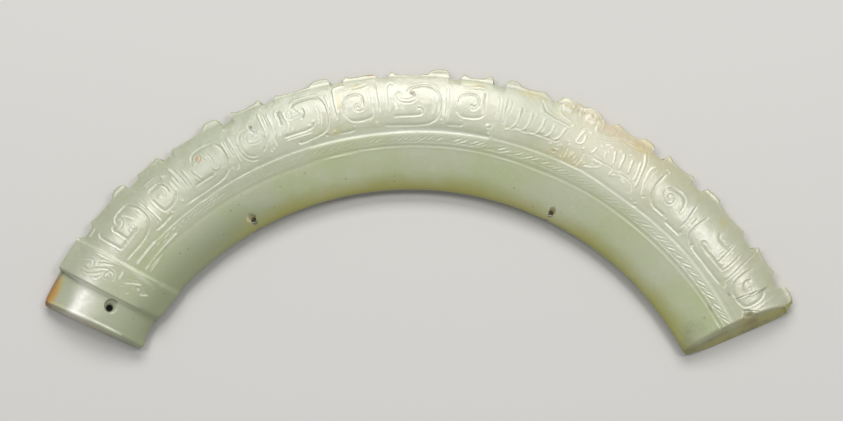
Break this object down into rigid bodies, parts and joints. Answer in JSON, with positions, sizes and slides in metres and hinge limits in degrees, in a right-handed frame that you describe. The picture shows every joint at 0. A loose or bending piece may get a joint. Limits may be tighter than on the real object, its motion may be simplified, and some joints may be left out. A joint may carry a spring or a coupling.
{
  "type": "arc-shaped pendant",
  "caption": "Arc-shaped pendant carved from one piece of pale green stone, with a toothed crest, a collar, a plain lower band and three drilled cord holes.",
  "frame": {"origin": "middle of the footprint, on the surface the pendant lies on", "axes": "+X along the arch from the collar end to the plain cut end, +Y towards the top of the arch, +Z out of the carved front"},
  "size_m": [0.1502, 0.0574, 0.0067],
  "materials": {
    "jade": "waxy polish, pale green, slightly translucent"
  },
  "bodies": {
    "root": {"jade_arc": "jade"}
  },
  "joints": []
}
